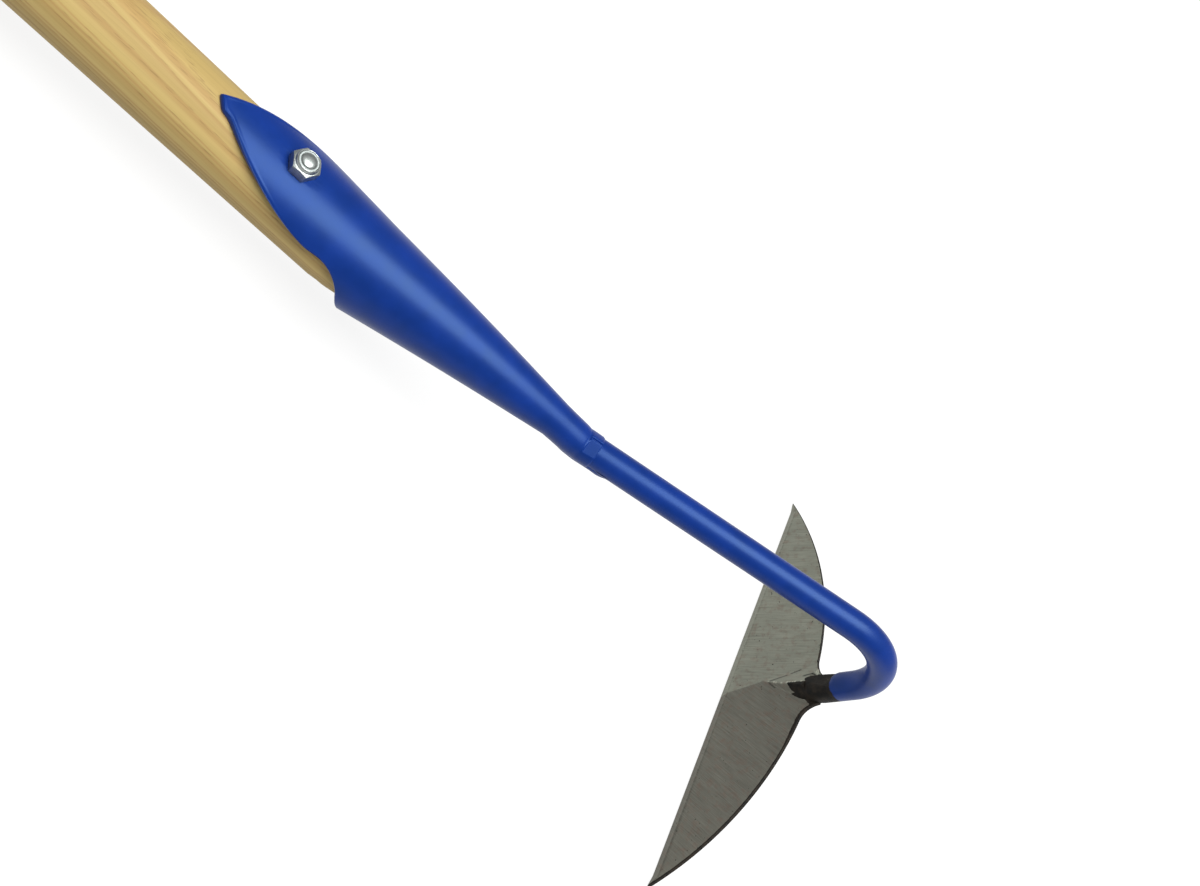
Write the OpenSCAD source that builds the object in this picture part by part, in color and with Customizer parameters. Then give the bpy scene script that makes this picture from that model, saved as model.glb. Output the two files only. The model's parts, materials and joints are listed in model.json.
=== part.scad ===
// Swan-neck draw hoe with a half-moon blade, a folded sheet-steel socket and a long ash handle.
// It lies at rest on the floor on its cutting edge and on the domed end of its handle.

/* [Handle] */
// Length of the handle, from its nose inside the socket to the domed end
handle_len = 1400; // [900:10:1700]
// Diameter of the handle behind the socket
handle_d = 32; // [29:0.5:36]
// Diameter of the handle where the hands hold it
grip_d = 30; // [27:0.5:32]
// Length of the straight stretch that the hands hold
grip_len = 420; // [200:10:500]
// Diameter of the hole to hang the hoe by
hang_d = 10; // [6:0.5:13]
// Distance of the hanging hole's centre from the domed end
hang_from_end = 14.5; // [11:0.5:30]
// Width of the chamfer round the hanging hole
hang_chamfer = 0.7; // [0.3:0.1:1.2]
// How far the handle's nose reaches into the socket
nose_len = 68; // [50:1:74]
// Length of the handle's taper that shows in front of the mouth
nose_show = 9; // [6:1:14]
// Depth by which the nose is turned down behind its shoulder
turn_down = 0.4; // [0.2:0.1:0.8]

/* [Socket] */
// Thickness of the sheet steel
sheet_t = 2; // [1.5:0.1:2.4]
// Length of the closed cone, from the mouth to the collar
socket_len = 92; // [86:1:120]
// Length of the tongue, from the mouth to its point
tongue_len = 74; // [66:1:90]
// Distance from the mouth at which the tongue starts to narrow
spear_from = 22; // [18:1:26]
// Half the width of the tongue where it starts to narrow
spear_half_w = 17.8; // [16.5:0.1:18.2]
// Radius of the throat where the mouth runs out into the tongue
throat_r = 16; // [8:0.5:18]
// Width of the closed seam along the underside
seam_w = 0.6; // [0.3:0.1:1.2]
// Wall of the collar round the neck bar
collar_wall = 0.75; // [0.6:0.05:1.2]
// Wall of the cone where it meets the collar
cone_wall = 1.1; // [1:0.05:1.6]
// Length of the collar from the cone to its crease
collar_len = 15; // [12:0.5:20]
// Length of the collar past its crease
collar_lip = 7; // [5:0.5:10]
// Radius of the crease, to the middle of the bar
crease_r = 14; // [11:0.5:20]
// Depth by which the bar reaches past the collar into the cone
bar_seat = 6; // [3:0.5:9]

/* [Neck] */
// Diameter of the round neck bar
bar_d = 13; // [11:0.5:15]
// Angle by which the bar rises from the line of the handle
bar_lean = 15.6; // [8:0.1:20]
// Length of the bar from the collar's crease to its bend
bar_run = 137; // [100:1:180]
// Radius of the bend, to the middle of the bar
bend_r = 34; // [26:1:45]
// Angle through which the bar is bent
bend_angle = 103; // [90:0.5:110]
// Length of the bar from its bend to the blade
arm_len = 24.5; // [20:0.5:40]
// Length of the bar's end that is drawn down to the blade
draw_len = 12; // [8:0.5:14]

/* [Blade] */
// Length of the cutting edge
blade_w = 215; // [160:1:260]
// Height of the blade from its back to its cutting edge
blade_h = 43; // [34:0.5:60]
// Thickness of the blade
blade_t = 2; // [1.6:0.1:3]
// Angle of the blade to the line of the handle
blade_rake = 68; // [60:0.5:76]
// Height of the lug that carries the bar, above the back of the blade
lug_h = 6.3; // [4:0.1:9]
// Radius of the hollow between the lug and the back of the blade
lug_fillet = 12; // [9:0.5:16]
// Width of the ground bevel along the cutting edge
bevel_w = 4.3; // [2:0.1:6]
// Thickness that the bevel leaves at the cutting edge
edge_t = 0.4; // [0.2:0.1:0.8]
// Reach of the ground ridge down the face of the blade
ridge_len = 25; // [20:0.5:31]
// Reach of the ridge to the side that is ground wide
ridge_wide = 14; // [10:0.5:16]
// Reach of the ridge past the bar's side that is left black
ridge_past = 1.2; // [1:0.1:2.5]
// Distance from the blade up the bar at which the ridge's crest runs out
ridge_up = 13; // [10:0.5:15]
// Angle by which the crest runs out to the black side of the bar's top
ridge_roll = 26.5; // [0:0.5:35]

/* [Bolt and nut] */
// Diameter of the bolt's shank
bolt_d = 6; // [5:0.5:8]
// Length of the bolt under its head
bolt_len = 40; // [39:0.5:45]
// Distance of the bolt from the mouth of the socket
bolt_from_mouth = 40; // [32:0.5:46]
// Diameter of the bolt's mushroom head
head_d = 16; // [13:0.5:18]
// Height of the bolt's mushroom head
head_h = 3.4; // [2.6:0.1:4]
// Depth to which the head is drawn into the wood
head_sink = 0.9; // [0.5:0.1:2]
// Length of the square neck under the head
square_len = 4; // [3:0.5:6]
// Width of the nut across its flats
nut_flats = 10; // [8:0.5:13]
// Height of the nut's six-sided body
nut_hex_h = 4.6; // [4:0.1:5.4]
// Height of the nut's round collar over the ring
nut_collar_h = 1.5; // [1.2:0.1:1.8]
// Wall of the nut's round collar
nut_collar_wall = 0.6; // [0.4:0.05:0.8]
// Thickness of the locking ring
ring_t = 0.9; // [0.8:0.05:1.1]

/* [Clearances] */
// Gap between the top of the handle and the sheet
sheet_play = 0.3; // [0.1:0.05:0.6]
// Extra height of the socket's mouth below the handle
mouth_ease = 1.2; // [0.6:0.1:2]
// Gap between the handle's nose and the cone
nose_play = 0.35; // [0.2:0.05:0.8]
// Gap round the bolt in the wood and in the tongue
bolt_play = 0.25; // [0.1:0.05:0.5]
// Gap round the bolt's head in the wood
head_play = 0.3; // [0.1:0.05:0.6]

/* [Hidden] */
$fn = 60;
eps = 0.01;
far = 400;
// Cuts run on past the shape by this much
over = 1;
// A bend is drawn a hair thinner than the straights that lap over its ends, which joins them cleanly.
bend_thin = 0.02;
bend_lap = 0.05;

// The tool is laid out with X along the handle, towards its domed end, and x = 0 at the socket's mouth.
handle_r = handle_d / 2;
grip_r = grip_d / 2;
turned_r = handle_r - turn_down;
shoulder_len = 4;
taper_gap = 12;
taper_start = tongue_len + taper_gap;
handle_end = handle_len - nose_len;
grip_start = handle_end - grip_len;

// The cone's top line runs along the top of the handle, so the cone only falls away below.
sheet_top = handle_r + sheet_play + sheet_t;
mouth_h = handle_d + 2 * sheet_t + sheet_play + mouth_ease;
cone_end_h = bar_d + 2 * cone_wall;
cone_fall = (mouth_h - cone_end_h) / socket_len;
cone_a = atan(cone_fall) / 2;
cone_apex = -mouth_h / cone_fall;
inner_apex = cone_apex + sheet_t / tan(cone_a);
inner_top = sheet_top - sheet_t;
nose_top = inner_top - nose_play;
nose_h = (-nose_len - inner_apex) * cone_fall - 2 * nose_play;
nose_fall = (nose_top + handle_r - nose_h) / (nose_show + nose_len);
nose_a = atan(nose_fall) / 2;
nose_apex = -nose_len - nose_h / nose_fall;

// The tongue's plan is a pointed arch of two equal arcs.
spear_len = tongue_len - spear_from;
spear_r = (spear_len * spear_len + spear_half_w * spear_half_w) / (2 * spear_half_w);
spear_cone_r = (spear_from - cone_apex) * cone_fall / 2;
cheek_lift = 0.3;
cheek_z = sheet_top - spear_cone_r + cheek_lift
    + sqrt(spear_cone_r * spear_cone_r - spear_half_w * spear_half_w);

// The neck bar's line in the upright plane of the handle, from point to point.
bar_r = bar_d / 2;
collar_r = bar_r + collar_wall;
collar_z = sheet_top - cone_end_h / 2;
crease = [-socket_len - collar_len, collar_z];
crease_cut = crease_r * tan(bar_lean / 2);
crease_mid = crease + [crease_cut, crease_r];
run_dir = 180 - bar_lean;
bend_from = crease + bar_run * [cos(run_dir), sin(run_dir)];
bend_mid = bend_from + bend_r * [-sin(run_dir), cos(run_dir)];
arm_dir = run_dir + bend_angle;
arm_from = bend_mid + bend_r * [sin(arm_dir), -cos(arm_dir)];
foot = arm_from + arm_len * [cos(arm_dir), sin(arm_dir)];

// The blade's own frame has y towards the cutting edge and z out of the face that is pulled.
back_drop = 0.8;
edge_y = back_drop + blade_h;
back_r = (blade_w * blade_w / 4 + blade_h * blade_h) / (2 * blade_h);
back_mid = back_drop + back_r;
lug_y = back_drop - lug_h;
// Each hollow touches the arched back and runs up to a corner of the lug, which fixes its centre.
lug_corner = [bar_r, lug_y];
back_centre = [0, back_mid];
lug_reach = norm(lug_corner - back_centre);
lug_line = (lug_corner - back_centre) / lug_reach;
hollow_far = back_r + lug_fillet;
hollow_along = (hollow_far * hollow_far - lug_fillet * lug_fillet + lug_reach * lug_reach) / (2 * lug_reach);
hollow_side = sqrt(hollow_far * hollow_far - hollow_along * hollow_along);
hollow = back_centre + hollow_along * lug_line + hollow_side * [-lug_line.y, lug_line.x];
bevel_a = atan((blade_t - edge_t) / bevel_w);
meet_a = 360 - blade_rake - arm_dir;

// The ridge has three corners on the blade, and a crest that runs out on the bar.
root_land = 0.3;
wide_root_y = hollow.y + sqrt(lug_fillet * lug_fillet - pow(hollow.x - ridge_wide, 2)) + root_land;
ridge_tip = [0, ridge_len, blade_t / 2];
wide_root = [ridge_wide, wide_root_y, blade_t / 2];
narrow_root = [-bar_r - ridge_past, root_land, blade_t / 2];
crest_lift = bar_r * cos(ridge_roll);
crest_end = [
    -bar_r * sin(ridge_roll),
    crest_lift * sin(meet_a) - ridge_up * cos(meet_a),
    crest_lift * cos(meet_a) + ridge_up * sin(meet_a)
];
// The wide facet's own directions: down the crest, across the facet and out of it
crest_line = ridge_tip - crest_end;
facet_cross = cross(wide_root - crest_end, crest_line);
facet_x = crest_line / norm(crest_line);
facet_z = facet_cross / norm(facet_cross);
facet_y = cross(facet_z, facet_x);

// The bolt stands square to the handle, its head in the underside and its nut on the tongue.
head_z = -handle_r + head_sink;
square_w = bolt_d;
nut_corner_r = nut_flats / 2 / cos(30);
nut_step = 0.5;
nut_collar_r = nut_flats / 2 - nut_step;
// The nut presses the sheet flat under itself, which seats it this far below the cone's top line.
nut_seat = 0.35;
nut_z = sheet_top - nut_seat;
ring_r = nut_collar_r - nut_collar_wall;
ring_sink = 0.2;
ring_z = nut_z + nut_hex_h - ring_sink;

// At rest the cutting edge and the dome touch the floor, which tips the handle by a small angle.
edge_x = foot.x + edge_y * cos(blade_rake) - blade_t / 2 * sin(blade_rake);
edge_z = foot.y - edge_y * sin(blade_rake) - blade_t / 2 * cos(blade_rake);
dome_x = handle_end - grip_r;
span = norm([dome_x - edge_x, edge_z]);
tilt = atan2(-edge_z, dome_x - edge_x) - asin(grip_r / span);
low_x = (bend_mid.x - edge_x) * cos(tilt) + (bend_mid.y - edge_z) * sin(tilt) - bend_r - bar_r;
high_x = (dome_x - edge_x) * cos(tilt) - edge_z * sin(tilt) + grip_r;

// Puts the tool's own frame onto the floor, centred along X
module at_rest() {
    translate([-(low_x + high_x) / 2, 0, 0])
        rotate([0, tilt, 0])
            translate([-edge_x, 0, -edge_z])
                children();
}

// Turns a shape that stands along Z so that it runs from a point at an angle above the +X direction
module along(p, a) {
    translate([p.x, 0, p.y])
        rotate([0, 90 - a, 0])
            children();
}

// A round rod along X
module rod_x(x0, x1, r, z = 0) {
    translate([x0, 0, z])
        rotate([0, 90, 0])
            cylinder(h = x1 - x0, r = r);
}

// A cone lying along X whose top line is level
module level_cone(apex, top, a, x0, x1) {
    l0 = (x0 - apex) * cos(a);
    l1 = (x1 - apex) / cos(a);
    along([apex, top], -a)
        translate([0, 0, l0])
            cylinder(h = l1 - l0, r1 = l0 * tan(a), r2 = l1 * tan(a), $fn = 90);
}

// Puts a shape from the blade's own frame onto the end of the bar
module on_foot() {
    translate([foot.x, 0, foot.y])
        rotate([0, blade_rake, 0])
            rotate([0, 0, -90])
                children();
}

// A round bar bent along an arc in the upright plane of the handle
module bent(mid, r, start, angle, thick) {
    translate([mid.x, 0, mid.y])
        rotate([90, 0, 0])
            rotate([0, 0, start])
                rotate_extrude(angle = angle)
                    translate([r, 0])
                        circle(r = thick - bend_thin);
}

// The line of the bar through the socket's end: level, round the crease and on at its lean
module bar_end(r, seat, lip) {
    rod_x(crease_mid.x - bend_lap, -socket_len + seat, r, collar_z);
    bent(crease_mid, crease_r, -90 - bar_lean, bar_lean, r);
    along(crease, run_dir)
        translate([0, 0, crease_cut - bend_lap])
            cylinder(h = lip - crease_cut + 2 * bend_lap, r = r);
}

// Ash handle: turned nose, long taper, straight grip, domed end with a hole to hang it by
module handle() {
    color("#c9b078")
        difference() {
            union() {
                intersection() {
                    rod_x(-nose_len, nose_show, turned_r);
                    level_cone(nose_apex, nose_top, nose_a, -nose_len - over, nose_show + over);
                }
                translate([nose_show, 0, 0])
                    rotate([0, 90, 0])
                        cylinder(h = shoulder_len, r1 = turned_r, r2 = handle_r);
                rod_x(nose_show + shoulder_len, taper_start, handle_r);
                translate([taper_start, 0, 0])
                    rotate([0, 90, 0])
                        cylinder(h = grip_start - taper_start, r1 = handle_r, r2 = grip_r);
                rod_x(grip_start, dome_x, grip_r);
                translate([dome_x, 0, 0])
                    sphere(r = grip_r);
            }
            translate([handle_end - hang_from_end, 0, 0])
                hang_hole();
            translate([bolt_from_mouth, 0, 0])
                bolt_seat();
        }
}

// The hanging hole with a chamfer at both ends
module hang_hole() {
    chamfer_top = sqrt(grip_r * grip_r - hang_d * hang_d / 4);
    cylinder(h = 4 * grip_r, d = hang_d, center = true);
    for (side = [0, 1])
        mirror([0, 0, side])
            translate([0, 0, chamfer_top - hang_chamfer])
                cylinder(h = grip_r, r1 = hang_d / 2, r2 = hang_d / 2 + grip_r);
}

// The bolt's hole through the wood, with the pockets that its square neck and head press into it
module bolt_seat() {
    cylinder(h = 2 * far, d = bolt_d + 2 * bolt_play, center = true);
    translate([0, 0, head_z + square_len / 2 - eps])
        cube([square_w, square_w, square_len + 2 * eps], center = true);
    translate([0, 0, head_z - 2 * head_h])
        cylinder(h = 2 * head_h, d = head_d + 2 * head_play);
}

// Folded sheet-steel socket: one rolled cone, drawn down to a collar and cut out to a spear-shaped tongue
module socket() {
    color("#2f4d9e")
        difference() {
            union() {
                intersection() {
                    level_cone(cone_apex, sheet_top, cone_a, -socket_len, tongue_len + over);
                    tongue_plan();
                }
                bar_end(collar_r, over, collar_lip);
            }
            level_cone(inner_apex, inner_top, cone_a, -socket_len + bar_seat, tongue_len + 2 * over);
            mouth_cut();
            bar_end(bar_r, bar_seat, 2 * collar_lip);
            seam();
            translate([bolt_from_mouth, 0, 0])
                cylinder(h = far, d = bolt_d + 2 * bolt_play);
            translate([bolt_from_mouth, 0, nut_z])
                cylinder(h = far, r = nut_corner_r + nut_seat);
        }
}

// Plan of the socket: everything behind the tongue, then a pointed arch
module tongue_plan() {
    translate([-far + spear_from, -far / 2, -far / 2])
        cube(far);
    intersection_for(side = [-1, 1])
        translate([spear_from, side * (spear_r - spear_half_w), 0])
            cylinder(h = far, r = spear_r, center = true, $fn = 120);
}

// What is cut away below the tongue: a straight mouth that turns out along the tongue
module mouth_cut() {
    throat_z = cheek_z - throat_r;
    translate([0, -far / 2, -far])
        cube([far, far, far + throat_z]);
    translate([throat_r, -far / 2, -far])
        cube([far, far, far + cheek_z]);
    translate([throat_r, 0, throat_z])
        rotate([90, 0, 0])
            cylinder(h = far, r = throat_r, center = true);
}

// The seam where the rolled sheet's edges meet below
module seam() {
    seam_short = 2;
    reach = socket_len - bar_seat - seam_short;
    along([cone_apex, sheet_top], -cone_a)
        translate([0, -seam_w / 2, (-reach - cone_apex) * cos(cone_a)])
            cube([mouth_h, seam_w, reach / cos(cone_a) + throat_r]);
}

// Round neck bar: seat in the socket, straight run, swan-neck bend and an end drawn down to the blade
module neck_bar() {
    color("#2b489a")
        union() {
            bar_end(bar_r, bar_seat, bar_run);
            bent(bend_mid, bend_r, run_dir - 90, bend_angle, bar_r);
            arm();
        }
}

// The bar's end behind the blade, ground down with the weld's wide facet as far as the crest runs
module arm() {
    run_out_a = 40;
    reach = 4 * bar_r;
    run_out = reach / tan(run_out_a);
    difference() {
        arm_stock();
        on_foot()
            on_facet()
                rotate([90, 0, 0])
                    linear_extrude(2 * reach, center = true)
                        polygon([[0, 0], [2 * reach, 0], [2 * reach, reach], [-run_out, reach]]);
    }
}

// Puts a shape from the wide facet's own frame, at the end of its crest, into the blade's frame
module on_facet() {
    multmatrix([for (k = [0:2]) [facet_x[k], facet_y[k], facet_z[k], crest_end[k]]])
        children();
}

// The bar's end before it is ground, cut to the face of the blade and drawn flat at its back
module arm_stock() {
    heel_at = [draw_len * cos(meet_a) + bar_r * sin(meet_a), draw_len * sin(meet_a) - bar_r * cos(meet_a)];
    toe_at = [-lug_y, blade_t / 2];
    heel_a = atan2(toe_at.y - heel_at.y, heel_at.x - toe_at.x);
    difference() {
        along(arm_from, arm_dir)
            translate([0, 0, -bend_lap])
                cylinder(h = arm_len + 4 * bar_r, r = bar_r);
        on_foot() {
            translate([-far / 2, -far / 2, blade_t / 2 - far])
                cube(far);
            translate([0, -toe_at.x, toe_at.y])
                rotate([heel_a, 0, 0])
                    translate([-far / 2, -far, -far])
                        cube(far);
        }
    }
}

// Weld that fills the underside of the collar where the seam ends, thickest in the middle
module neck_weld() {
    weld_half = 8;
    weld_flat = 3;
    weld_past = 3;
    weld_r = collar_r + 0.2;
    weld_rise = 0.4;
    weld_drop = 0.4;
    weld_side = 2.5;
    color("#27438f")
        difference() {
            translate([crease.x + weld_past, 0, crease.y - weld_drop])
                rotate([0, -90, 0]) {
                    translate([0, 0, -weld_half])
                        cylinder(h = weld_half - weld_flat, r1 = weld_r, r2 = weld_r + weld_rise);
                    translate([0, 0, -weld_flat])
                        cylinder(h = 2 * weld_flat, r = weld_r + weld_rise);
                    translate([0, 0, weld_flat])
                        cylinder(h = weld_half - weld_flat, r1 = weld_r + weld_rise, r2 = weld_r);
                }
            translate([-far, -far / 2, crease.y - weld_side])
                cube(far);
            bar_end(collar_r, weld_half, 4 * collar_lip);
        }
}

// Half-moon blade: straight cutting edge with a ground bevel, arched back, and a lug for the bar
module blade() {
    color("#7f807a")
        on_foot()
            difference() {
                union() {
                    intersection() {
                        translate([0, back_mid, -blade_t / 2])
                            cylinder(h = blade_t, r = back_r, $fn = 180);
                        translate([-blade_w, 0, -blade_t])
                            cube([2 * blade_w, edge_y, 2 * blade_t]);
                    }
                    lug();
                }
                translate([0, edge_y, edge_t - blade_t / 2])
                    rotate([-bevel_a, 0, 0])
                        translate([-blade_w, -2 * bevel_w, 0])
                            cube([2 * blade_w, 4 * bevel_w, 2 * blade_t]);
            }
}

// The lug on the blade's back, with a hollow on both sides
module lug() {
    lug_root = 3;
    root_x = hollow.x * back_r / hollow_far;
    difference() {
        translate([-root_x, lug_y, -blade_t / 2])
            cube([2 * root_x, lug_h + lug_root, blade_t]);
        for (side = [-1, 1])
            translate([side * hollow.x, hollow.y, 0])
                cylinder(h = 2 * blade_t, r = lug_fillet, center = true);
    }
}

// Weld between bar and blade: ground to a wide facet on one side, left narrow and black on the other
module blade_weld() {
    corners = [ridge_tip, wide_root, narrow_root, crest_end];
    color("#5d5e5b")
        difference() {
            on_foot()
                polyhedron(points = corners, faces = [[0, 2, 1], [0, 1, 3], [1, 2, 3], [2, 0, 3]]);
            arm_stock();
        }
}

// Carriage bolt: mushroom head, square neck and round shank
module carriage_bolt() {
    cap_r = (head_d * head_d / 4 + head_h * head_h) / (2 * head_h);
    color("#c4c7ca")
        translate([bolt_from_mouth, 0, head_z])
            union() {
                intersection() {
                    translate([0, 0, cap_r - head_h])
                        sphere(r = cap_r);
                    translate([0, 0, -head_h])
                        cylinder(h = head_h, d = head_d);
                }
                translate([0, 0, square_len / 2])
                    cube([square_w, square_w, square_len], center = true);
                cylinder(h = bolt_len, d = bolt_d);
            }
}

// Nut with chamfered corners and a round collar that closes over the locking ring
module lock_nut() {
    chamfer_a = 30;
    chamfer_land = nut_flats / 2 - 0.1;
    chamfer_foot = chamfer_land + nut_corner_r / tan(chamfer_a);
    nut_lip = 0.6;
    color("#d2d4d4")
        translate([bolt_from_mouth, 0, nut_z])
            difference() {
                union() {
                    intersection() {
                        cylinder(h = nut_hex_h, r = nut_corner_r, $fn = 6);
                        translate([0, 0, nut_hex_h - nut_corner_r])
                            cylinder(h = nut_corner_r, r1 = chamfer_foot, r2 = chamfer_land);
                    }
                    cylinder(h = nut_hex_h + nut_collar_h, r = nut_collar_r);
                }
                translate([0, 0, -eps])
                    cylinder(h = far, d = bolt_d);
                translate([0, 0, ring_z - nut_z])
                    cylinder(h = ring_t, r = ring_r);
                translate([0, 0, ring_z + ring_t - nut_z - eps])
                    cylinder(h = far, r = ring_r - nut_lip);
            }
}

// Nylon ring that grips the bolt's end
module lock_ring() {
    color("#e4e6ea")
        translate([bolt_from_mouth, 0, ring_z])
            difference() {
                cylinder(h = ring_t, r = ring_r);
                translate([0, 0, -eps])
                    cylinder(h = 2 * ring_t, d = bolt_d);
            }
}

at_rest() handle();
at_rest() socket();
at_rest() neck_bar();
at_rest() neck_weld();
at_rest() blade();
at_rest() blade_weld();
at_rest() carriage_bolt();
at_rest() lock_nut();
at_rest() lock_ring();
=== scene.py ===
import json
import math
import bmesh
import bpy
import numpy as np
from mathutils import Matrix


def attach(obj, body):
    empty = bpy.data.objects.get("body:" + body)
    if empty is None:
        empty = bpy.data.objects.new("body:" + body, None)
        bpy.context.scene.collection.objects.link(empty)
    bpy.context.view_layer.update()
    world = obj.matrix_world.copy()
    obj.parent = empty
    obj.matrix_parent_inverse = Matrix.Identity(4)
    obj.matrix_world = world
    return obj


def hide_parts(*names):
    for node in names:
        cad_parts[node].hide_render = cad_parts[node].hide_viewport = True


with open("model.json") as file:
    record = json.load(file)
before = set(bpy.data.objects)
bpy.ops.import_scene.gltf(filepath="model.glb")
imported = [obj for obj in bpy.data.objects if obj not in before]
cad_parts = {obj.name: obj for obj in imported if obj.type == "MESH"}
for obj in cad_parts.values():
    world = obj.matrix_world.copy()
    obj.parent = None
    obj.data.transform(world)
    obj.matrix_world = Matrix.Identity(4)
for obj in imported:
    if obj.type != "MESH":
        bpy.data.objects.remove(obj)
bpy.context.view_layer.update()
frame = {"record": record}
print("stage: packed hoe loaded")

# The hoe's own layout is in millimetres: x along the handle to its domed end, x = 0 at the
# socket's mouth, z up through the nut. The two mounts say how that layout lies at rest.
layout = {"handleEnd": 1332.0, "hangFromEnd": 14.5}
mounts = {m["name"]: m for m in frame["record"]["mounts"]}
alongAxis = np.array(mounts["hand_grip"]["axis"], float)
alongAxis /= np.linalg.norm(alongAxis)
upAxis = np.array([-alongAxis[2], 0.0, alongAxis[0]])
sideAxis = np.array([0.0, 1.0, 0.0])
axes = np.stack([alongAxis, sideAxis, upAxis])
hangX = layout["handleEnd"] - layout["hangFromEnd"]
origin = np.array(mounts["hang_hole"]["pos_m"], float) - alongAxis * hangX / 1000


# Layout millimetres to the frame's metres: origin + x * along + y * side + z * up.
def atRest(points):
    return origin + np.asarray(points, float) @ axes / 1000


# 0 below low, 1 above high, and 3t^2 - 2t^3 between them.
def smooth01(value, low, high):
    t = np.clip((value - low) / (high - low), 0, 1)
    return t * t * (3 - 2 * t)


# The smaller of two fields, rounded over a width where they cross: a h + b (1 - h) less
# width * h (1 - h), where h goes from 0 to 1 as b - a goes from -width to width.
def softLeast(a, b, width):
    h = np.clip(0.5 + 0.5 * (b - a) / width, 0, 1)
    return b * (1 - h) + a * h - width * h * (1 - h)


# A line through a few points, its corners rounded by the mean of nine reads over +-blend.
def softTable(xs, ys, at, blend):
    offsets = np.linspace(-blend, blend, 9)
    return np.mean([np.interp(at + d, xs, ys) for d in offsets], axis=0)


# A gentle uneven field: the sum of height * sin(a / along + b / across + phase) over a few waves.
def ripple(a, b, waves):
    total = 0
    for along, across, phase, height in waves:
        total = total + height * np.sin(a / along + b / across + phase)
    return total


# One quad for each cell of a grid of points, rows by columns, where wrapping joins the last to the
# first. Points that coincide, at seams and poles, are merged, and the faces turned outwards.
def meshFromGrid(name, points, wrapColumns, wrapRows=False, fields=None):
    rows, columns = points.shape[:2]
    i, j = np.meshgrid(np.arange(rows if wrapRows else rows - 1),
                       np.arange(columns if wrapColumns else columns - 1), indexing="ij")
    i2, j2 = (i + 1) % rows, (j + 1) % columns
    quads = np.stack([i * columns + j, i2 * columns + j, i2 * columns + j2, i * columns + j2], -1)
    mesh = bpy.data.meshes.new(name)
    mesh.vertices.add(rows * columns)
    mesh.vertices.foreach_set("co", atRest(points).ravel())
    mesh.loops.add(quads.size)
    mesh.loops.foreach_set("vertex_index", quads.ravel().astype(np.int32))
    mesh.polygons.add(quads.size // 4)
    mesh.polygons.foreach_set("loop_start", np.arange(0, quads.size, 4, dtype=np.int32))
    mesh.update(calc_edges=True)
    for key, values in (fields or {}).items():
        kind, each = ("FLOAT_VECTOR", "vector") if values.ndim == 3 else ("FLOAT", "value")
        mesh.attributes.new(key, kind, "POINT").data.foreach_set(each, values.ravel())
    bm = bmesh.new()
    bm.from_mesh(mesh)
    bmesh.ops.remove_doubles(bm, verts=bm.verts, dist=2e-6)
    bmesh.ops.dissolve_degenerate(bm, edges=bm.edges, dist=1e-7)
    bmesh.ops.recalc_face_normals(bm, faces=bm.faces)
    bm.to_mesh(mesh)
    bm.free()
    return mesh


# Makes the object, shades it smooth up to an angle and hangs it on the frame.
def finishPiece(name, mesh, finish, nodes, sharpAngle):
    mesh.polygons.foreach_set("use_smooth", np.ones(len(mesh.polygons), bool))
    mesh.set_sharp_from_angle(angle=math.radians(sharpAngle))
    piece = bpy.data.objects.new(name, mesh)
    bpy.context.scene.collection.objects.link(piece)
    mesh.materials.append(finish)
    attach(piece, "root")
    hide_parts(*nodes)
    print("stage:", name, len(mesh.polygons), "faces")
    return piece


# A turned shape: each profile point (height, radius) carried round an upright axis at axisX, as
# axisX + radius * cos a, radius * sin a, height.
def turned(profile, columns, axisX):
    height, radius = np.asarray(profile, float).T[:, :, None]
    a = np.linspace(0, 2 * np.pi, columns, endpoint=False)
    return np.stack([axisX + radius * np.cos(a), radius * np.sin(a), height + 0 * a], -1)


# sRGB hex to linear light, by the sRGB curve.
def linearColour(hexCode):
    parts = [int(hexCode[k:k + 2], 16) / 255 for k in (1, 3, 5)]
    return [p / 12.92 if p <= 0.04045 else ((p + 0.055) / 1.055) ** 2.4 for p in parts] + [1.0]


rangeEnds = ("From Min", "From Max", "To Min", "To Max")


# Adds a node with its settings, links or sets each named or numbered input, and gives one output.
# ends are a Map Range's own four, stops a colour ramp's places and hex colours. A colour Mix has
# its colours at 6 and 7 and gives output 2.
def put(tree, kind, inputs=None, give=0, ends=(), stops=(), **settings):
    added = tree.nodes.new("ShaderNode" + kind)
    for key, value in settings.items():
        setattr(added, key, value)
    for k, (place, hexCode) in enumerate(stops):
        elements = added.color_ramp.elements
        element = elements[k] if k < 2 else elements.new(place)
        element.position, element.color = place, linearColour(hexCode)
    for key, value in ((inputs or {}) | dict(zip(rangeEnds, ends))).items():
        if isinstance(value, bpy.types.NodeSocket):
            tree.links.new(value, added.inputs[key])
        else:
            added.inputs[key].default_value = value
    return added.outputs[give]


# A piece's own coordinates in millimetres, for patterns that are sized in them.
def millimetres(tree):
    place = put(tree, "TexCoord", give="Object")
    return put(tree, "Mapping", {"Vector": place, "Scale": (1000, 1000, 1000)})


# A material with the surface that one of the functions below builds in its tree.
def newMaterial(name, surface):
    material = bpy.data.materials.new(name)
    material.use_nodes = True
    tree = material.node_tree
    tree.nodes.clear()
    out = tree.nodes.new("ShaderNodeOutputMaterial")
    tree.links.new(surface(tree), out.inputs["Surface"])
    return material


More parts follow.
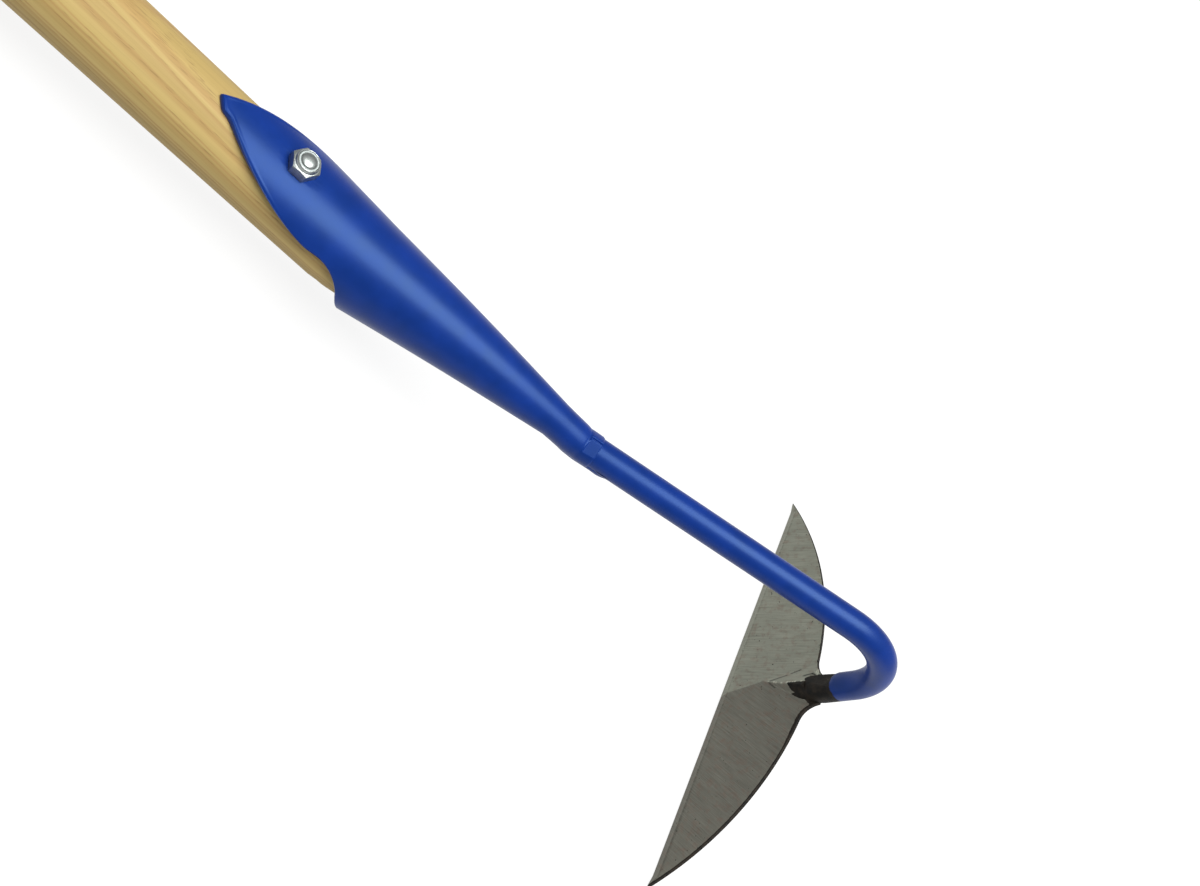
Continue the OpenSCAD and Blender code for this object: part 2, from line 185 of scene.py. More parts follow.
# Turned and lightly oiled ash. It was turned along the grain, so the eye sees fine brown lines of
# early wood along the stick, which open into long pale ovals where the rings lie flat to the
# surface, and short open pores in rows. The age within a ring is the fraction of distance / ring
# width, from a pith that leans and wanders, with good and bad years. It runs from light wood to
# late and to early wood.
def ashWood(tree):
    wood = {"ring": 2.5, "pith": (20.0, -56.0), "slope": (0.008, -0.034), "wander": 2.6,
            "wanderLen": 160.0, "yearPace": 0.24, "uneven": 4.4, "streak": 1.1,
            "streakPace": 0.007, "pore": 0.3, "poreLen": 5.0,
            "ages": ((0.0, "#9a8652"), (1.0, "#9a8652"), (0.4, "#9d8855"), (0.74, "#93794a"),
                     (0.86, "#93794a")), "brown": "#907440", "poreTint": "#61472a",
            "fibreShade": (0.3, 0.7, 1.05, 0.93), "yearShade": (0.3, 0.7, 0.95, 1.07),
            "yearBrown": (0.58, 0.36, 0.0, 0.3), "poreCut": (0.62, 0.72),
            "earlyCut": (0.55, 0.8), "poreDark": 0.38, "poreDeep": -1.4,
            "rough": (0.3, 0.7, 0.6, 0.7)}
    place = put(tree, "TexCoord", give="Object")
    lie = -math.atan2(alongAxis[2], alongAxis[0])
    inLog = put(tree, "Mapping", {"Vector": place, "Location": origin.tolist(),
                                  "Rotation": (0, lie, 0), "Scale": (0.001, 0.001, 0.001)},
                vector_type="TEXTURE")
    alongLog = put(tree, "SeparateXYZ", {0: inLog})
    slow = put(tree, "Math", {0: alongLog, 1: 1 / wood["wanderLen"]}, operation="MULTIPLY")
    sway = put(tree, "TexNoise", {"W": slow, "Scale": 1.0, "Detail": 2.0}, "Color",
               noise_dimensions="1D")
    offset = put(tree, "VectorMath", {0: sway, 1: (wood["wander"],) * 3}, operation="MULTIPLY")
    leaned = put(tree, "VectorMath", {0: alongLog, 1: (0, *wood["slope"]), 2: offset},
                 operation="MULTIPLY_ADD")
    fromPith = put(tree, "VectorMath", {0: inLog, 1: (0, *wood["pith"])}, operation="SUBTRACT")
    grown = put(tree, "VectorMath", {0: fromPith, 1: leaned})
    flat = put(tree, "VectorMath", {0: grown, 1: (0, 1, 1)}, operation="MULTIPLY")
    distance = put(tree, "VectorMath", {0: flat}, "Value", operation="LENGTH")
    weather = put(tree, "Math", {0: distance, 1: wood["yearPace"]}, operation="MULTIPLY")
    years = put(tree, "TexNoise", {"W": weather, "Scale": 1.0, "Detail": 2.0},
                noise_dimensions="1D")
    stretched = put(tree, "Math", {0: years, 1: wood["uneven"], 2: distance},
                    operation="MULTIPLY_ADD")
    rings = put(tree, "Math", {0: stretched, 1: 1 / wood["ring"]}, operation="MULTIPLY")
    age = put(tree, "Math", {0: rings}, operation="FRACT")
    colour = put(tree, "ValToRGB", {"Fac": age}, stops=wood["ages"])
    streaks = (wood["streakPace"], 1 / wood["streak"], 1 / wood["streak"])
    fibreAt = put(tree, "VectorMath", {0: inLog, 1: streaks}, operation="MULTIPLY")
    fibre = put(tree, "TexNoise", {"Vector": fibreAt, "Scale": 1.0, "Detail": 5.0,
                                   "Roughness": 0.6})
    shade = put(tree, "MapRange", {"Value": fibre}, ends=wood["fibreShade"])
    warm = put(tree, "MapRange", {"Value": years}, ends=wood["yearShade"])
    browner = put(tree, "MapRange", {"Value": years}, ends=wood["yearBrown"])
    colour = put(tree, "Mix", {"Factor": browner, 6: colour, 7: linearColour(wood["brown"])}, 2,
                 data_type="RGBA")
    both = put(tree, "Math", {0: shade, 1: warm}, operation="MULTIPLY")
    toned = put(tree, "VectorMath", {0: colour, "Scale": both}, operation="SCALE")
    pores = (1 / wood["poreLen"], 1 / wood["pore"], 1 / wood["pore"])
    poreAt = put(tree, "VectorMath", {0: inLog, 1: pores}, operation="MULTIPLY")
    pore = put(tree, "TexNoise", {"Vector": poreAt, "Scale": 1.0, "Detail": 0.0})
    openPore = put(tree, "MapRange", {"Value": pore}, ends=wood["poreCut"])
    early = put(tree, "MapRange", {"Value": age}, ends=wood["earlyCut"])
    poreMask = put(tree, "Math", {0: openPore, 1: early}, operation="MULTIPLY")
    poreShare = put(tree, "Math", {0: poreMask, 1: wood["poreDark"]}, operation="MULTIPLY")
    final = put(tree, "Mix", {"Factor": poreShare, 6: toned, 7: linearColour(wood["poreTint"])},
                2, data_type="RGBA")
    rough = put(tree, "MapRange", {"Value": fibre}, ends=wood["rough"])
    relief = put(tree, "Math", {0: poreMask, 1: wood["poreDeep"], 2: fibre},
                 operation="MULTIPLY_ADD")
    bump = put(tree, "Bump", {"Height": relief, "Strength": 0.18, "Distance": 0.0001})
    return put(tree, "BsdfPrincipled", {"Base Color": final, "Roughness": rough, "Normal": bump,
                                        "IOR": 1.48, "Specular IOR Level": 0.3})


# Satin blue powder coat on steel: an even deep blue with soft bluish lights and a faint orange
# peel.
def satinPaint(tree):
    coat = {"blues": ((0.3, "#082360"), (0.7, "#0a276c")), "lights": "#9bc7ff", "peel": 1.1,
            "cloud": 9.0, "rough": (0.25, 0.75, 0.35, 0.4)}
    inMm = millimetres(tree)
    cloud = put(tree, "TexNoise", {"Vector": inMm, "Scale": 1 / coat["cloud"], "Detail": 3.0})
    peel = put(tree, "TexNoise", {"Vector": inMm, "Scale": 1 / coat["peel"], "Detail": 1.5})
    colour = put(tree, "ValToRGB", {"Fac": cloud}, stops=coat["blues"])
    rough = put(tree, "MapRange", {"Value": cloud}, ends=coat["rough"])
    bump = put(tree, "Bump", {"Height": peel, "Strength": 0.22, "Distance": 0.00005})
    return put(tree, "BsdfPrincipled", {"Base Color": colour, "Roughness": rough, "Normal": bump,
                                        "IOR": 1.5, "Specular IOR Level": 0.29,
                                        "Specular Tint": linearColour(coat["lights"])})


# Black-brown forging scale and burnt paint: dull, crusty and a little brown.
def forgingScale(tree):
    scale = {"blacks": ((0.4, "#11100e"), (0.72, "#27211a")), "crust": 0.8, "blotch": 3.5}
    inMm = millimetres(tree)
    blotch = put(tree, "TexNoise", {"Vector": inMm, "Scale": 1 / scale["blotch"], "Detail": 4.0})
    crust = put(tree, "TexNoise", {"Vector": inMm, "Scale": 1 / scale["crust"], "Detail": 4.0,
                                   "Roughness": 0.6})
    colour = put(tree, "ValToRGB", {"Fac": blotch}, stops=scale["blacks"])
    bump = put(tree, "Bump", {"Height": crust, "Strength": 0.5, "Distance": 0.0003})
    return put(tree, "BsdfPrincipled", {"Base Color": colour, "Roughness": 0.6,
                                        "Specular IOR Level": 0.12, "Normal": bump})


# The bar's paint, which stops raggedly short of the blade and leaves the scale bare.
def paintOverScale(tree):
    edge = {"cut": (0.6, 0.85), "sway": 0.5, "ragged": 1.4}
    bare = put(tree, "Attribute", give="Fac", attribute_name="bare")
    noise = put(tree, "TexNoise", {"Vector": millimetres(tree), "Scale": 1 / edge["ragged"],
                                   "Detail": 3.0})
    shifted = put(tree, "Math", {0: noise, 1: edge["sway"], 2: bare}, operation="MULTIPLY_ADD")
    mask = put(tree, "MapRange", {"Value": shifted}, ends=edge["cut"],
               interpolation_type="SMOOTHSTEP")
    return put(tree, "MixShader", {0: mask, 1: satinPaint(tree), 2: forgingScale(tree)})


# Coarsely ground blade steel: grey, with fine lines that run down each half, dark pits, a brown
# breath of rust, and black scale where the grinding stopped. The far half's grey is painted
# lighter than the near half's, as painted reflection.
def groundSteel(tree):
    # Grinding patterns are (width, length, detail, roughness), specks (size, detail, roughness).
    steel = {"litFarGrey": "#84867a", "shadedNearGrey": "#6b6a61", "rust": "#6f5a4f", "hollow": "#33302b",
             "lines": (0.42, 13.0, 4.0, 0.6), "fine": (0.2, 12.0, 2.0, 0.5),
             "cloud": (7.0, 22.0, 3.0, 0.5), "pits": (1.3, 3.0, 0.5), "patch": (3.0, 4.0, 0.6),
             "ragged": (1.3, 4.0, 0.65), "base": 0.26, "lineTone": 1.1, "cloudTone": 0.35,
             "rustCut": (0.5, 0.7, 0.0, 0.42), "pitCut": (0.69, 0.735),
             "rough": (0.25, 0.75, 0.34, 0.5), "fineDeep": 0.6, "sway": 0.9,
             "scaleCut": (0.88, 1.02)}
    grind = put(tree, "Attribute", give="Vector", attribute_name="grind")
    litFarHalf, scaled, shade = [put(tree, "Attribute", give="Fac", attribute_name=field)
                              for field in ("litFarHalf", "scaled", "shade")]
    inMm = millimetres(tree)
    drawn = {}
    for pattern in ("lines", "fine", "cloud"):
        wide, long, detail, rough = steel[pattern]
        at = put(tree, "Mapping", {"Vector": grind, "Scale": (1 / wide, 1 / long, 1)})
        drawn[pattern] = put(tree, "TexNoise", {"Vector": at, "Scale": 1.0, "Detail": detail,
                                                "Roughness": rough})
    for pattern in ("pits", "patch", "ragged"):
        size, detail, rough = steel[pattern]
        drawn[pattern] = put(tree, "TexNoise", {"Vector": inMm, "Scale": 1 / size,
                                                "Detail": detail, "Roughness": rough})
    # Painted reflection: the two ground halves take the light differently, so the far half gets a
    # lighter grey and the near half a darker one.
    base = put(tree, "Mix", {"Factor": litFarHalf, 6: linearColour(steel["shadedNearGrey"]),
                             7: linearColour(steel["litFarGrey"])}, 2, data_type="RGBA")
    warm = put(tree, "MapRange", {"Value": drawn["patch"]}, ends=steel["rustCut"])
    base = put(tree, "Mix", {"Factor": warm, 6: base, 7: linearColour(steel["rust"])}, 2,
               data_type="RGBA")
    tone = put(tree, "Math", {0: drawn["lines"], 1: steel["lineTone"], 2: steel["base"]},
               operation="MULTIPLY_ADD")
    tone = put(tree, "Math", {0: drawn["cloud"], 1: steel["cloudTone"], 2: tone},
               operation="MULTIPLY_ADD")
    tone = put(tree, "Math", {0: tone, 1: shade}, operation="MULTIPLY")
    colour = put(tree, "VectorMath", {0: base, "Scale": tone}, operation="SCALE")
    pitMask = put(tree, "MapRange", {"Value": drawn["pits"]}, ends=steel["pitCut"])
    colour = put(tree, "Mix", {"Factor": pitMask, 6: colour, 7: linearColour(steel["hollow"])},
                 2, data_type="RGBA")
    rough = put(tree, "MapRange", {"Value": drawn["lines"]}, ends=steel["rough"])
    height = put(tree, "Math", {0: drawn["fine"], 1: steel["fineDeep"], 2: drawn["lines"]},
                 operation="MULTIPLY_ADD")
    bump = put(tree, "Bump", {"Height": height, "Strength": 0.35, "Distance": 0.00012})
    bare = put(tree, "BsdfPrincipled", {"Base Color": colour, "Metallic": 0.85,
                                        "Roughness": rough, "Normal": bump})
    shifted = put(tree, "Math", {0: drawn["ragged"], 1: steel["sway"], 2: scaled},
                  operation="MULTIPLY_ADD")
    mask = put(tree, "MapRange", {"Value": shifted}, ends=steel["scaleCut"],
               interpolation_type="SMOOTHSTEP")
    return put(tree, "MixShader", {0: mask, 1: bare, 2: forgingScale(tree)})


# Bright zinc plate on small fasteners: a clear silver with faint machining haze.
def zincPlate(tree):
    plate = {"silvers": ((0.35, "#949a97"), (0.6, "#a9aeab")), "haze": 1.6,
             "rough": (0.0, 1.0, 0.43, 0.31)}
    haze = put(tree, "TexNoise", {"Vector": millimetres(tree), "Scale": 1 / plate["haze"],
                                  "Detail": 3.0})
    colour = put(tree, "ValToRGB", {"Fac": haze}, stops=plate["silvers"])
    rough = put(tree, "MapRange", {"Value": haze}, ends=plate["rough"])
    bump = put(tree, "Bump", {"Height": haze, "Strength": 0.08, "Distance": 0.00005})
    return put(tree, "BsdfPrincipled", {"Base Color": colour, "Metallic": 1.0,
                                        "Roughness": rough, "Normal": bump})


# Natural moulded nylon, soft edged. Its off-white is painted grey: a little wear, and mostly
# painted shade from its collar.
def mouldedNylon(tree):
    plastic = {"collarShadedGreys": ((0.3, "#8f9694"), (0.7, "#a5acaa")), "grain": 0.5}
    grain = put(tree, "TexNoise", {"Vector": millimetres(tree), "Scale": 1 / plastic["grain"],
                                   "Detail": 2.0})
    # Painted shade: these greys stand for the white nylon in the shade of its collar.
    colour = put(tree, "ValToRGB", {"Fac": grain}, stops=plastic["collarShadedGreys"])
    bump = put(tree, "Bump", {"Height": grain, "Strength": 0.2, "Distance": 0.00005})
    return put(tree, "BsdfPrincipled", {"Base Color": colour, "Roughness": 0.45, "Normal": bump,
                                        "IOR": 1.53})


# The top of a light table, matte and glowing a little, so that shadows stay faint.
def palePaper(tree):
    sheet = {"greys": ((0.3, "#5b5b5a"), (0.7, "#616160")), "glow": "#ffffff"}
    place = put(tree, "TexCoord", give="Object")
    grain = put(tree, "TexNoise", {"Vector": place, "Scale": 6.0, "Detail": 2.0})
    colour = put(tree, "ValToRGB", {"Fac": grain}, stops=sheet["greys"])
    return put(tree, "BsdfPrincipled", {"Base Color": colour, "Roughness": 0.9, "IOR": 1.3,
                                        "Emission Color": linearColour(sheet["glow"]),
                                        "Emission Strength": 0.87})


ash = newMaterial("turnedAsh", ashWood)
paint = newMaterial("satinBluePowderCoat", satinPaint)
barPaint = newMaterial("powderCoatOverForgingScale", paintOverScale)
bladeSteel = newMaterial("groundBladeSteel", groundSteel)
zinc = newMaterial("brightZincPlate", zincPlate)
nylon = newMaterial("whiteNylon", mouldedNylon)
print("stage: finishes made")

# pocket is the clearance for the bolt's head, flare how far the hole's chamfer goes on outside.
handle = {"radius": 16.0, "grip": 15.0, "gripLen": 420.0, "turned": 15.6, "nose": -68.0,
          "show": 9.0, "shoulder": 4.0, "taperFrom": 86.0, "noseTop": 15.95, "noseApex": -147.8,
          "noseFall": 0.2038, "noseBlend": 0.25, "fineFrom": 1297.0, "hole": 5.0,
          "chamfer": 0.7, "flare": 6.0, "pocketX": 40.0, "pocketR": 8.3,
          "pocketZ": (-30.0, -15.1)}


# Radius by place along the axis: the nose is a rod cut by a cone whose top line is level, the
# lesser of the rod's radius and c cos a + sqrt(R^2 - c^2 sin^2 a) for a cone of radius R whose
# centre is c up, then shoulder, taper, grip and dome.
def ashHandle():
    domeX = layout["handleEnd"] - handle["grip"]
    gripX = layout["handleEnd"] - handle["gripLen"]
    showX, taperX, fineX = handle["show"], handle["taperFrom"], handle["fineFrom"]
    x = np.concatenate([np.linspace(handle["nose"], showX, 40),
                        np.linspace(showX + 0.4, showX + 4.6, 10), np.arange(showX + 6, taperX, 3),
                        np.arange(taperX, gripX, 9), np.arange(gripX, fineX - 1, 9),
                        np.arange(fineX, domeX, 0.8)])
    radius = np.interp(x, [showX, showX + handle["shoulder"], taperX, gripX],
                       [handle["turned"], handle["radius"], handle["radius"], handle["grip"]])
    dome = np.linspace(0, np.pi / 2, 30)
    x = np.concatenate([x, domeX + handle["grip"] * np.sin(dome)])[:, None]
    radius = np.concatenate([radius, handle["grip"] * np.cos(dome)])[:, None]
    a = np.linspace(0, 2 * np.pi, 128, endpoint=False)
    coneR = (x - handle["noseApex"]) * handle["noseFall"] / 2
    centre = handle["noseTop"] - coneR
    inside = np.clip(coneR ** 2 - (centre * np.sin(a)) ** 2, 0, None)
    cut = softLeast(radius, centre * np.cos(a) + np.sqrt(inside), handle["noseBlend"])
    radial = np.where(x > showX + 1, radius, cut)
    body = np.stack([x + 0 * a, radial * np.sin(a), radial * np.cos(a)], -1)
    noseCap = np.stack([body[0] * [1, t, t] for t in (0.0, 0.5)])
    mesh = meshFromGrid("ashHandle", np.concatenate([noseCap, body]), True)
    top = math.sqrt(handle["grip"] ** 2 - handle["hole"] ** 2) - handle["chamfer"]
    wide, high = handle["hole"] + handle["flare"], top + handle["flare"]
    hole = [(-high, 0), (-high, wide), (-top, handle["hole"]),
            (top, handle["hole"]), (high, wide), (high, 0)]
    low, up = handle["pocketZ"]
    pocket = [(low, 0), (low, handle["pocketR"]), (up, handle["pocketR"]), (up, 0)]
    return carved(mesh, [meshFromGrid("holeCutter", turned(hole, 96, hangX), True),
                         meshFromGrid("pocketCutter", turned(pocket, 64, handle["pocketX"]), True)])


# The mesh with each cutter's shape taken out of it.
def carved(mesh, cutters):
    scene = bpy.context.scene.collection
    work = bpy.data.objects.new("carving", mesh)
    scene.objects.link(work)
    tools = []
    for cutter in cutters:
        tool = bpy.data.objects.new(cutter.name, cutter)
        scene.objects.link(tool)
        cut = work.modifiers.new("cut", "BOOLEAN")
        cut.operation, cut.solver, cut.object = "DIFFERENCE", "EXACT", tool
        tools.append(tool)
    depsgraph = bpy.context.evaluated_depsgraph_get()
    shape = bpy.data.meshes.new_from_object(work.evaluated_get(depsgraph))
    for extra in tools + [work]:
        bpy.data.objects.remove(extra)
    return shape


finishPiece("ashHandle", ashHandle(), ash, ["handle"], 30)

# Millimetres and degrees. Seam, slit, dip, tuck, peak and burr are how deep or high the sheet
# goes there, each with its width. The wall grows to the sheet's over wallRows.
socket = {"sheet": 2.0, "collarWall": 0.6, "wallRows": (0.0, 8.974, 19.231), "topLine": 18.3,
          "apex": -154.7, "fall": 0.2424, "crown": 0.7, "crownLen": 90.0, "coneEnd": -92.0,
          "tip": 74.0, "spearFrom": 22.0, "halfWidth": 17.8, "throat": 16.0, "cheekZ": 9.09,
          "mouth": 2.0, "mouthLean": 26.0, "crease": -107.0, "collarZ": 10.7, "lean": 15.6,
          "creaseR": 14.0, "creaseDip": 0.14, "creaseWide": 1.3, "lip": 7.0, "lipTuck": 0.25,
          "girth": ((-16, -11, -4, 0, 3, 7), (7.6, 7.45, 7.35, 7.2, 7.15, 7.05)),
          "slitAngle": -2.0, "slitWide": 3.2, "slitDeep": 0.85, "peak": 0.5, "peakWide": 5.5,
          "flatAngle": 33.0, "flatAway": 6.66, "seam": 0.5, "seamWide": 0.45,
          "edgeRound": 0.25, "lipRound": 0.8, "lipShare": 0.85, "burr": 0.13, "burrIn": 1.1,
          "burrWide": 0.42, "burrFrom": (30, 56), "blunt": 1.3, "bluntIn": 3.4,
          "bluntWide": 2.4, "nutFlat": (5.9, 7.2)}
# The bar ends at the height "sink", inside the plate, and the heel's plane is (slope, start).
neck = {"radius": 6.5, "run": 137.0, "bendR": 34.0, "bendAngle": 103.0, "arm": 64.5,
        "sink": 0.5, "heel": (0.236, -5.5), "foot": (13.5, 19.0), "ground": 0.86,
        "spread": 0.3, "bareTo": (14.5, 19.5)}
bolt = {"x": 40.0, "radius": 3.0, "length": 40.0, "endH": 1.1, "headR": 8.0, "headH": 3.4,
        "headZ": -15.1, "nutZ": 17.95, "flats": 10.0, "hexH": 4.6, "landIn": 0.25, "bore": 3.02,
        "collarR": 4.5, "collarH": 1.5, "mouthR": (3.75, 3.7), "ringR": 3.9, "ringBore": 3.0,
        "ringTopR": (3.74, 3.66, 3.1), "ringZ": 22.35, "ringT": 0.9, "ringRise": 0.55}


# Radius and height of the centre of the rolled cone: its top line is level, with a slight crown.
def coneSize(x):
    radius = (x - socket["apex"]) * socket["fall"] / 2
    crown = socket["crown"] * np.sin(np.pi * np.clip(-x / socket["crownLen"], 0, 1))
    return radius, socket["topLine"] + crown - radius


# The bar's line in pairs of length and curvature: an arc at the crease, the straight run, the
# swan-neck arc and the arm. creaseCut is what the arc takes off each side of the crease.
creaseTurn, neckTurn = math.radians(socket["lean"]), math.radians(neck["bendAngle"])
creaseCut = socket["creaseR"] * math.tan(creaseTurn / 2)
lineParts = ((socket["creaseR"] * creaseTurn, -1 / socket["creaseR"]),
             (neck["run"] - creaseCut, 0), (neck["bendR"] * neckTurn, 1 / neck["bendR"]),
             (neck["arm"], 0))
armFrom = sum(length for length, curve in lineParts[:3]) - creaseCut


# Where a length t along a curvature k from heading h leads: (sin(h + k t) - sin h) / k on and
# (cos(h + k t) - cos h) / k down, or t cos h and t sin h where it is straight.
def onward(x, z, heading, curve, t):
    turnedTo = heading + curve * t
    if not curve:
        return x + t * math.cos(heading), z + t * math.sin(heading), turnedTo
    return (x + (np.sin(turnedTo) - math.sin(heading)) / curve,
            z - (np.cos(turnedTo) - math.cos(heading)) / curve, turnedTo)


# The bar's line by length s from the crease, level before it. Gives x, z and the heading.
def barLine(s):
    s = np.asarray(s, float) + creaseCut
    start = socket["crease"] + creaseCut
    line = start - np.minimum(s, 0), socket["collarZ"] + 0 * s, np.pi + 0 * s
    here, begin = (start, socket["collarZ"], np.pi), 0.0
    for length, curve in lineParts:
        part = onward(*here, curve, np.clip(s - begin, 0, length))
        line = [np.where(s > begin, new, old) for new, old in zip(part, line)]
        here, begin = onward(*here, curve, length), begin + length
    return line


# Points round the bar's line, line + radius * out with out = cos a * up + sin a * side. Gives
# the points and out.
def roundLine(s, radius, a):
    x, z, heading = barLine(s)
    up = np.stack([np.sin(heading), 0 * heading, -np.cos(heading)], -1)
    out = np.cos(a)[..., None] * up + np.sin(a)[..., None] * sideAxis
    return np.stack([x, 0 * x, z], -1) + np.asarray(radius)[..., None] * out, out


# Half of the open edge, from the tongue's point down to the seam, as x and polar angle: a pointed
# arch in plan, a level cheek, a round throat, and a mouth that leans back, x = mouth + z tan(lean).
# The third answer is each column's angle on the collar.
def socketOutline(count):
    rise, deep, mouthColumns = socket["tip"] - socket["spearFrom"], socket["throat"], 60
    arch = (rise ** 2 + socket["halfWidth"] ** 2) / (2 * socket["halfWidth"])
    x1 = np.linspace(socket["tip"], socket["spearFrom"], 120)
    y1 = np.sqrt(arch ** 2 - (x1 - socket["spearFrom"]) ** 2) - (arch - socket["halfWidth"])
    a1 = np.arcsin(np.clip(y1 / coneSize(x1)[0], 0, 1))
    lean = math.radians(socket["mouthLean"])
    throatZ = socket["cheekZ"] - deep
    throatX = socket["mouth"] + (deep + throatZ * math.sin(lean)) / math.cos(lean)
    x2 = np.linspace(socket["spearFrom"] - 1, throatX + 1, 8)
    turn = np.linspace(0, np.pi / 2 - lean, 40)
    x23 = np.concatenate([x2, throatX - deep * np.sin(turn)])
    z23 = np.concatenate([0 * x2 + socket["cheekZ"], throatZ + deep * np.cos(turn)])
    r23, c23 = coneSize(x23)
    a23 = np.arccos(np.clip((z23 - c23) / r23, -1, 1))
    a4 = np.linspace(a23[-1], np.pi, mouthColumns)[1:]
    x4 = 0 * a4
    for step in range(5):  # x and z depend on each other, and five rounds settle them
        r4, c4 = coneSize(x4)
        x4 = socket["mouth"] + math.tan(lean) * (c4 + r4 * np.cos(a4))
    x = np.concatenate([x1, x23, x4])
    a = np.concatenate([a1, np.maximum(a23, a1[-1]), a4])
    girth = coneSize(np.zeros(1))[0][0]
    place = np.concatenate([[0], np.cumsum(np.hypot(np.diff(x), np.diff(a) * girth))])
    even = np.linspace(0, place[-1], count)
    outX = softTable(place, x, even, 1.2)
    outA = np.clip(softTable(place, a, even, 1.0), 0, np.pi)
    # Columns start on the collar at angles that stay short of the outline's own up to the throat,
    # so that no two columns cross on the way.
    share = [0, np.abs(outX - socket["spearFrom"]).argmin(),
             np.abs(outX[:-mouthColumns] - throatX).argmin(), count - 1]
    baseA = softTable(share, [0, 0.72 * a1[-1], 0.88 * a1[-1], np.pi], np.arange(count), 4)
    outX[0], outA[0], outA[-1], baseA[0], baseA[-1] = socket["tip"], 0, np.pi, 0, np.pi
    return outX, outA, baseA


# The rolled sheet as one grid: across it the two halves of the outline, along it from the
# collar's lip over the crease and the cone to the outline. A point is
# centre + radius * (sin a, cos a). The inner side is every third row of the outer one moved in
# along the normal, which is (k (cos a - 1), sin a, cos a) on a cone of slope k, and a rounded edge
# joins the two.
def foldedSocket():
    halfX, farA, halfBase = socketOutline(170)
    # The near flank of the point was dressed blunter than the far one, up to a small notch.
    dressed = np.exp(-((socket["tip"] - socket["bluntIn"] - halfX) / socket["bluntWide"]) ** 2)
    nearA = farA + socket["blunt"] * dressed / coneSize(halfX)[0] * (farA > 0)
    outX = np.concatenate([halfX[:0:-1], halfX])
    outA = np.concatenate([-farA[:0:-1], nearA])
    baseA = np.concatenate([-halfBase[:0:-1], halfBase])
    u = np.concatenate([np.linspace(0, 0.93, 80), np.linspace(0.93, 0.988, 20)[1:],
                        np.linspace(0.988, 1, 14)[1:]])[:, None]
    blend = u ** 1.5
    a = baseA * (1 - blend) + outA * blend
    x = socket["coneEnd"] + (outX - socket["coneEnd"]) * u
    radius, centre = coneSize(x)
    fromSeam = (np.pi - np.abs(a)) * radius
    radius = radius - socket["seam"] * np.exp(-(fromSeam / socket["seamWide"]) ** 2)
    # The sheared edge is rounded over: within R of it, d away, the sheet dips by
    # R - sqrt(R^2 - (R - d)^2). Only the last rows come near it.
    nearRows, farAway, bigR = 40, 9.0, socket["lipRound"]
    spread = np.stack([x, a * radius], -1)
    toEdge = spread[-nearRows:, :, None] - spread[-1][None, None]
    away = np.concatenate([np.full(x[:-nearRows].shape, farAway),
                           np.sqrt((toEdge ** 2).sum(-1)).min(-1)])
    short = np.clip(bigR - away, 0, bigR)
    radius = radius - (bigR - np.sqrt(bigR ** 2 - short ** 2)) * socket["lipShare"]
    burr = socket["burr"] * np.exp(-((away - socket["burrIn"]) / socket["burrWide"]) ** 2)
    radius = radius + burr * smooth01(x, *socket["burrFrom"])
    y, z = radius * np.sin(a), centre + radius * np.cos(a)
    underNut = 1 - smooth01(np.hypot(x - bolt["x"], y), *socket["nutFlat"])
    z = z - np.clip(z - bolt["nutZ"], 0, None) * underNut * (z > 0)
    cone = np.stack([x, y, z], -1)
    slope = socket["fall"] / 2
    coneOut = np.stack([slope * (np.cos(a) - 1), np.sin(a), np.cos(a)], -1)
    coneOut /= np.linalg.norm(coneOut, axis=-1, keepdims=True)
    # s runs along the bar's line: the lip is at +lip, the crease at 0 and the cone's end at -15.
    s = -np.concatenate([np.linspace(-socket["lip"], 1.5, 44), np.linspace(1.5, 14.5, 30)[1:]])
    s = s[:, None]
    girth = softTable(*socket["girth"], s, 1.0)
    girth = girth - socket["creaseDip"] * np.exp(-(s / socket["creaseWide"]) ** 2)
    besideSlit = (np.degrees(baseA) - socket["slitAngle"]) / socket["slitWide"]
    peak = socket["peak"] * np.exp(-(besideSlit / socket["peakWide"]) ** 2)
    slit = socket["slitDeep"] * np.exp(-besideSlit ** 2)
    girth = girth + smooth01(s, -0.5, 2.5) * peak - smooth01(s, 1.2, 2.2) * slit
    # Between slit and side the sheet was pressed flat, d / cos(angle to the flat's middle) from
    # the line.
    toFlat = np.clip(np.abs(baseA - math.radians(socket["flatAngle"])), 0, 1.2)
    proud = np.clip(girth - socket["flatAway"] / np.cos(toFlat), 0, None)
    girth = girth - proud * smooth01(s, 0.4, 1.6)
    girth = girth - socket["lipTuck"] * smooth01(s, socket["lip"] - 0.7, socket["lip"])
    collar, collarOut = roundLine(s, girth, baseA)
    outer = np.concatenate([collar, cone[1:]])
    outer[:, 0, 1] = outer[:, -1, 1] = 0
    out = np.concatenate([collarOut, coneOut[1:]])
    grow = np.interp(np.arange(len(u) - 1), socket["wallRows"],
                     [socket["collarWall"], 0.9, socket["sheet"]])
    wall = np.concatenate([np.full(len(s), socket["collarWall"]), grow])[:, None, None]
    inner = outer - out * wall
    forward = np.cross(np.gradient(outer[-1], axis=0), out[-1])
    forward /= np.linalg.norm(forward, axis=-1, keepdims=True)
    q = np.linspace(0, 1, 9)[1:-1, None, None]
    bulge = socket["edgeRound"] * np.sqrt(np.clip(1 - (2 * q - 1) ** 4, 0, 1))
    rim = outer[-1] - out[-1] * wall[-1] * q + forward * bulge
    lipRim = outer[0] - out[0] * wall[0] * np.linspace(0, 1, 5)[1:-1, None, None]
    points = np.concatenate([outer, rim, inner[::-3], lipRim[::-1]])
    return meshFromGrid("foldedSocket", points, False, True)


finishPiece("foldedSocket", foldedSocket(), paint, ["socket"], 50)

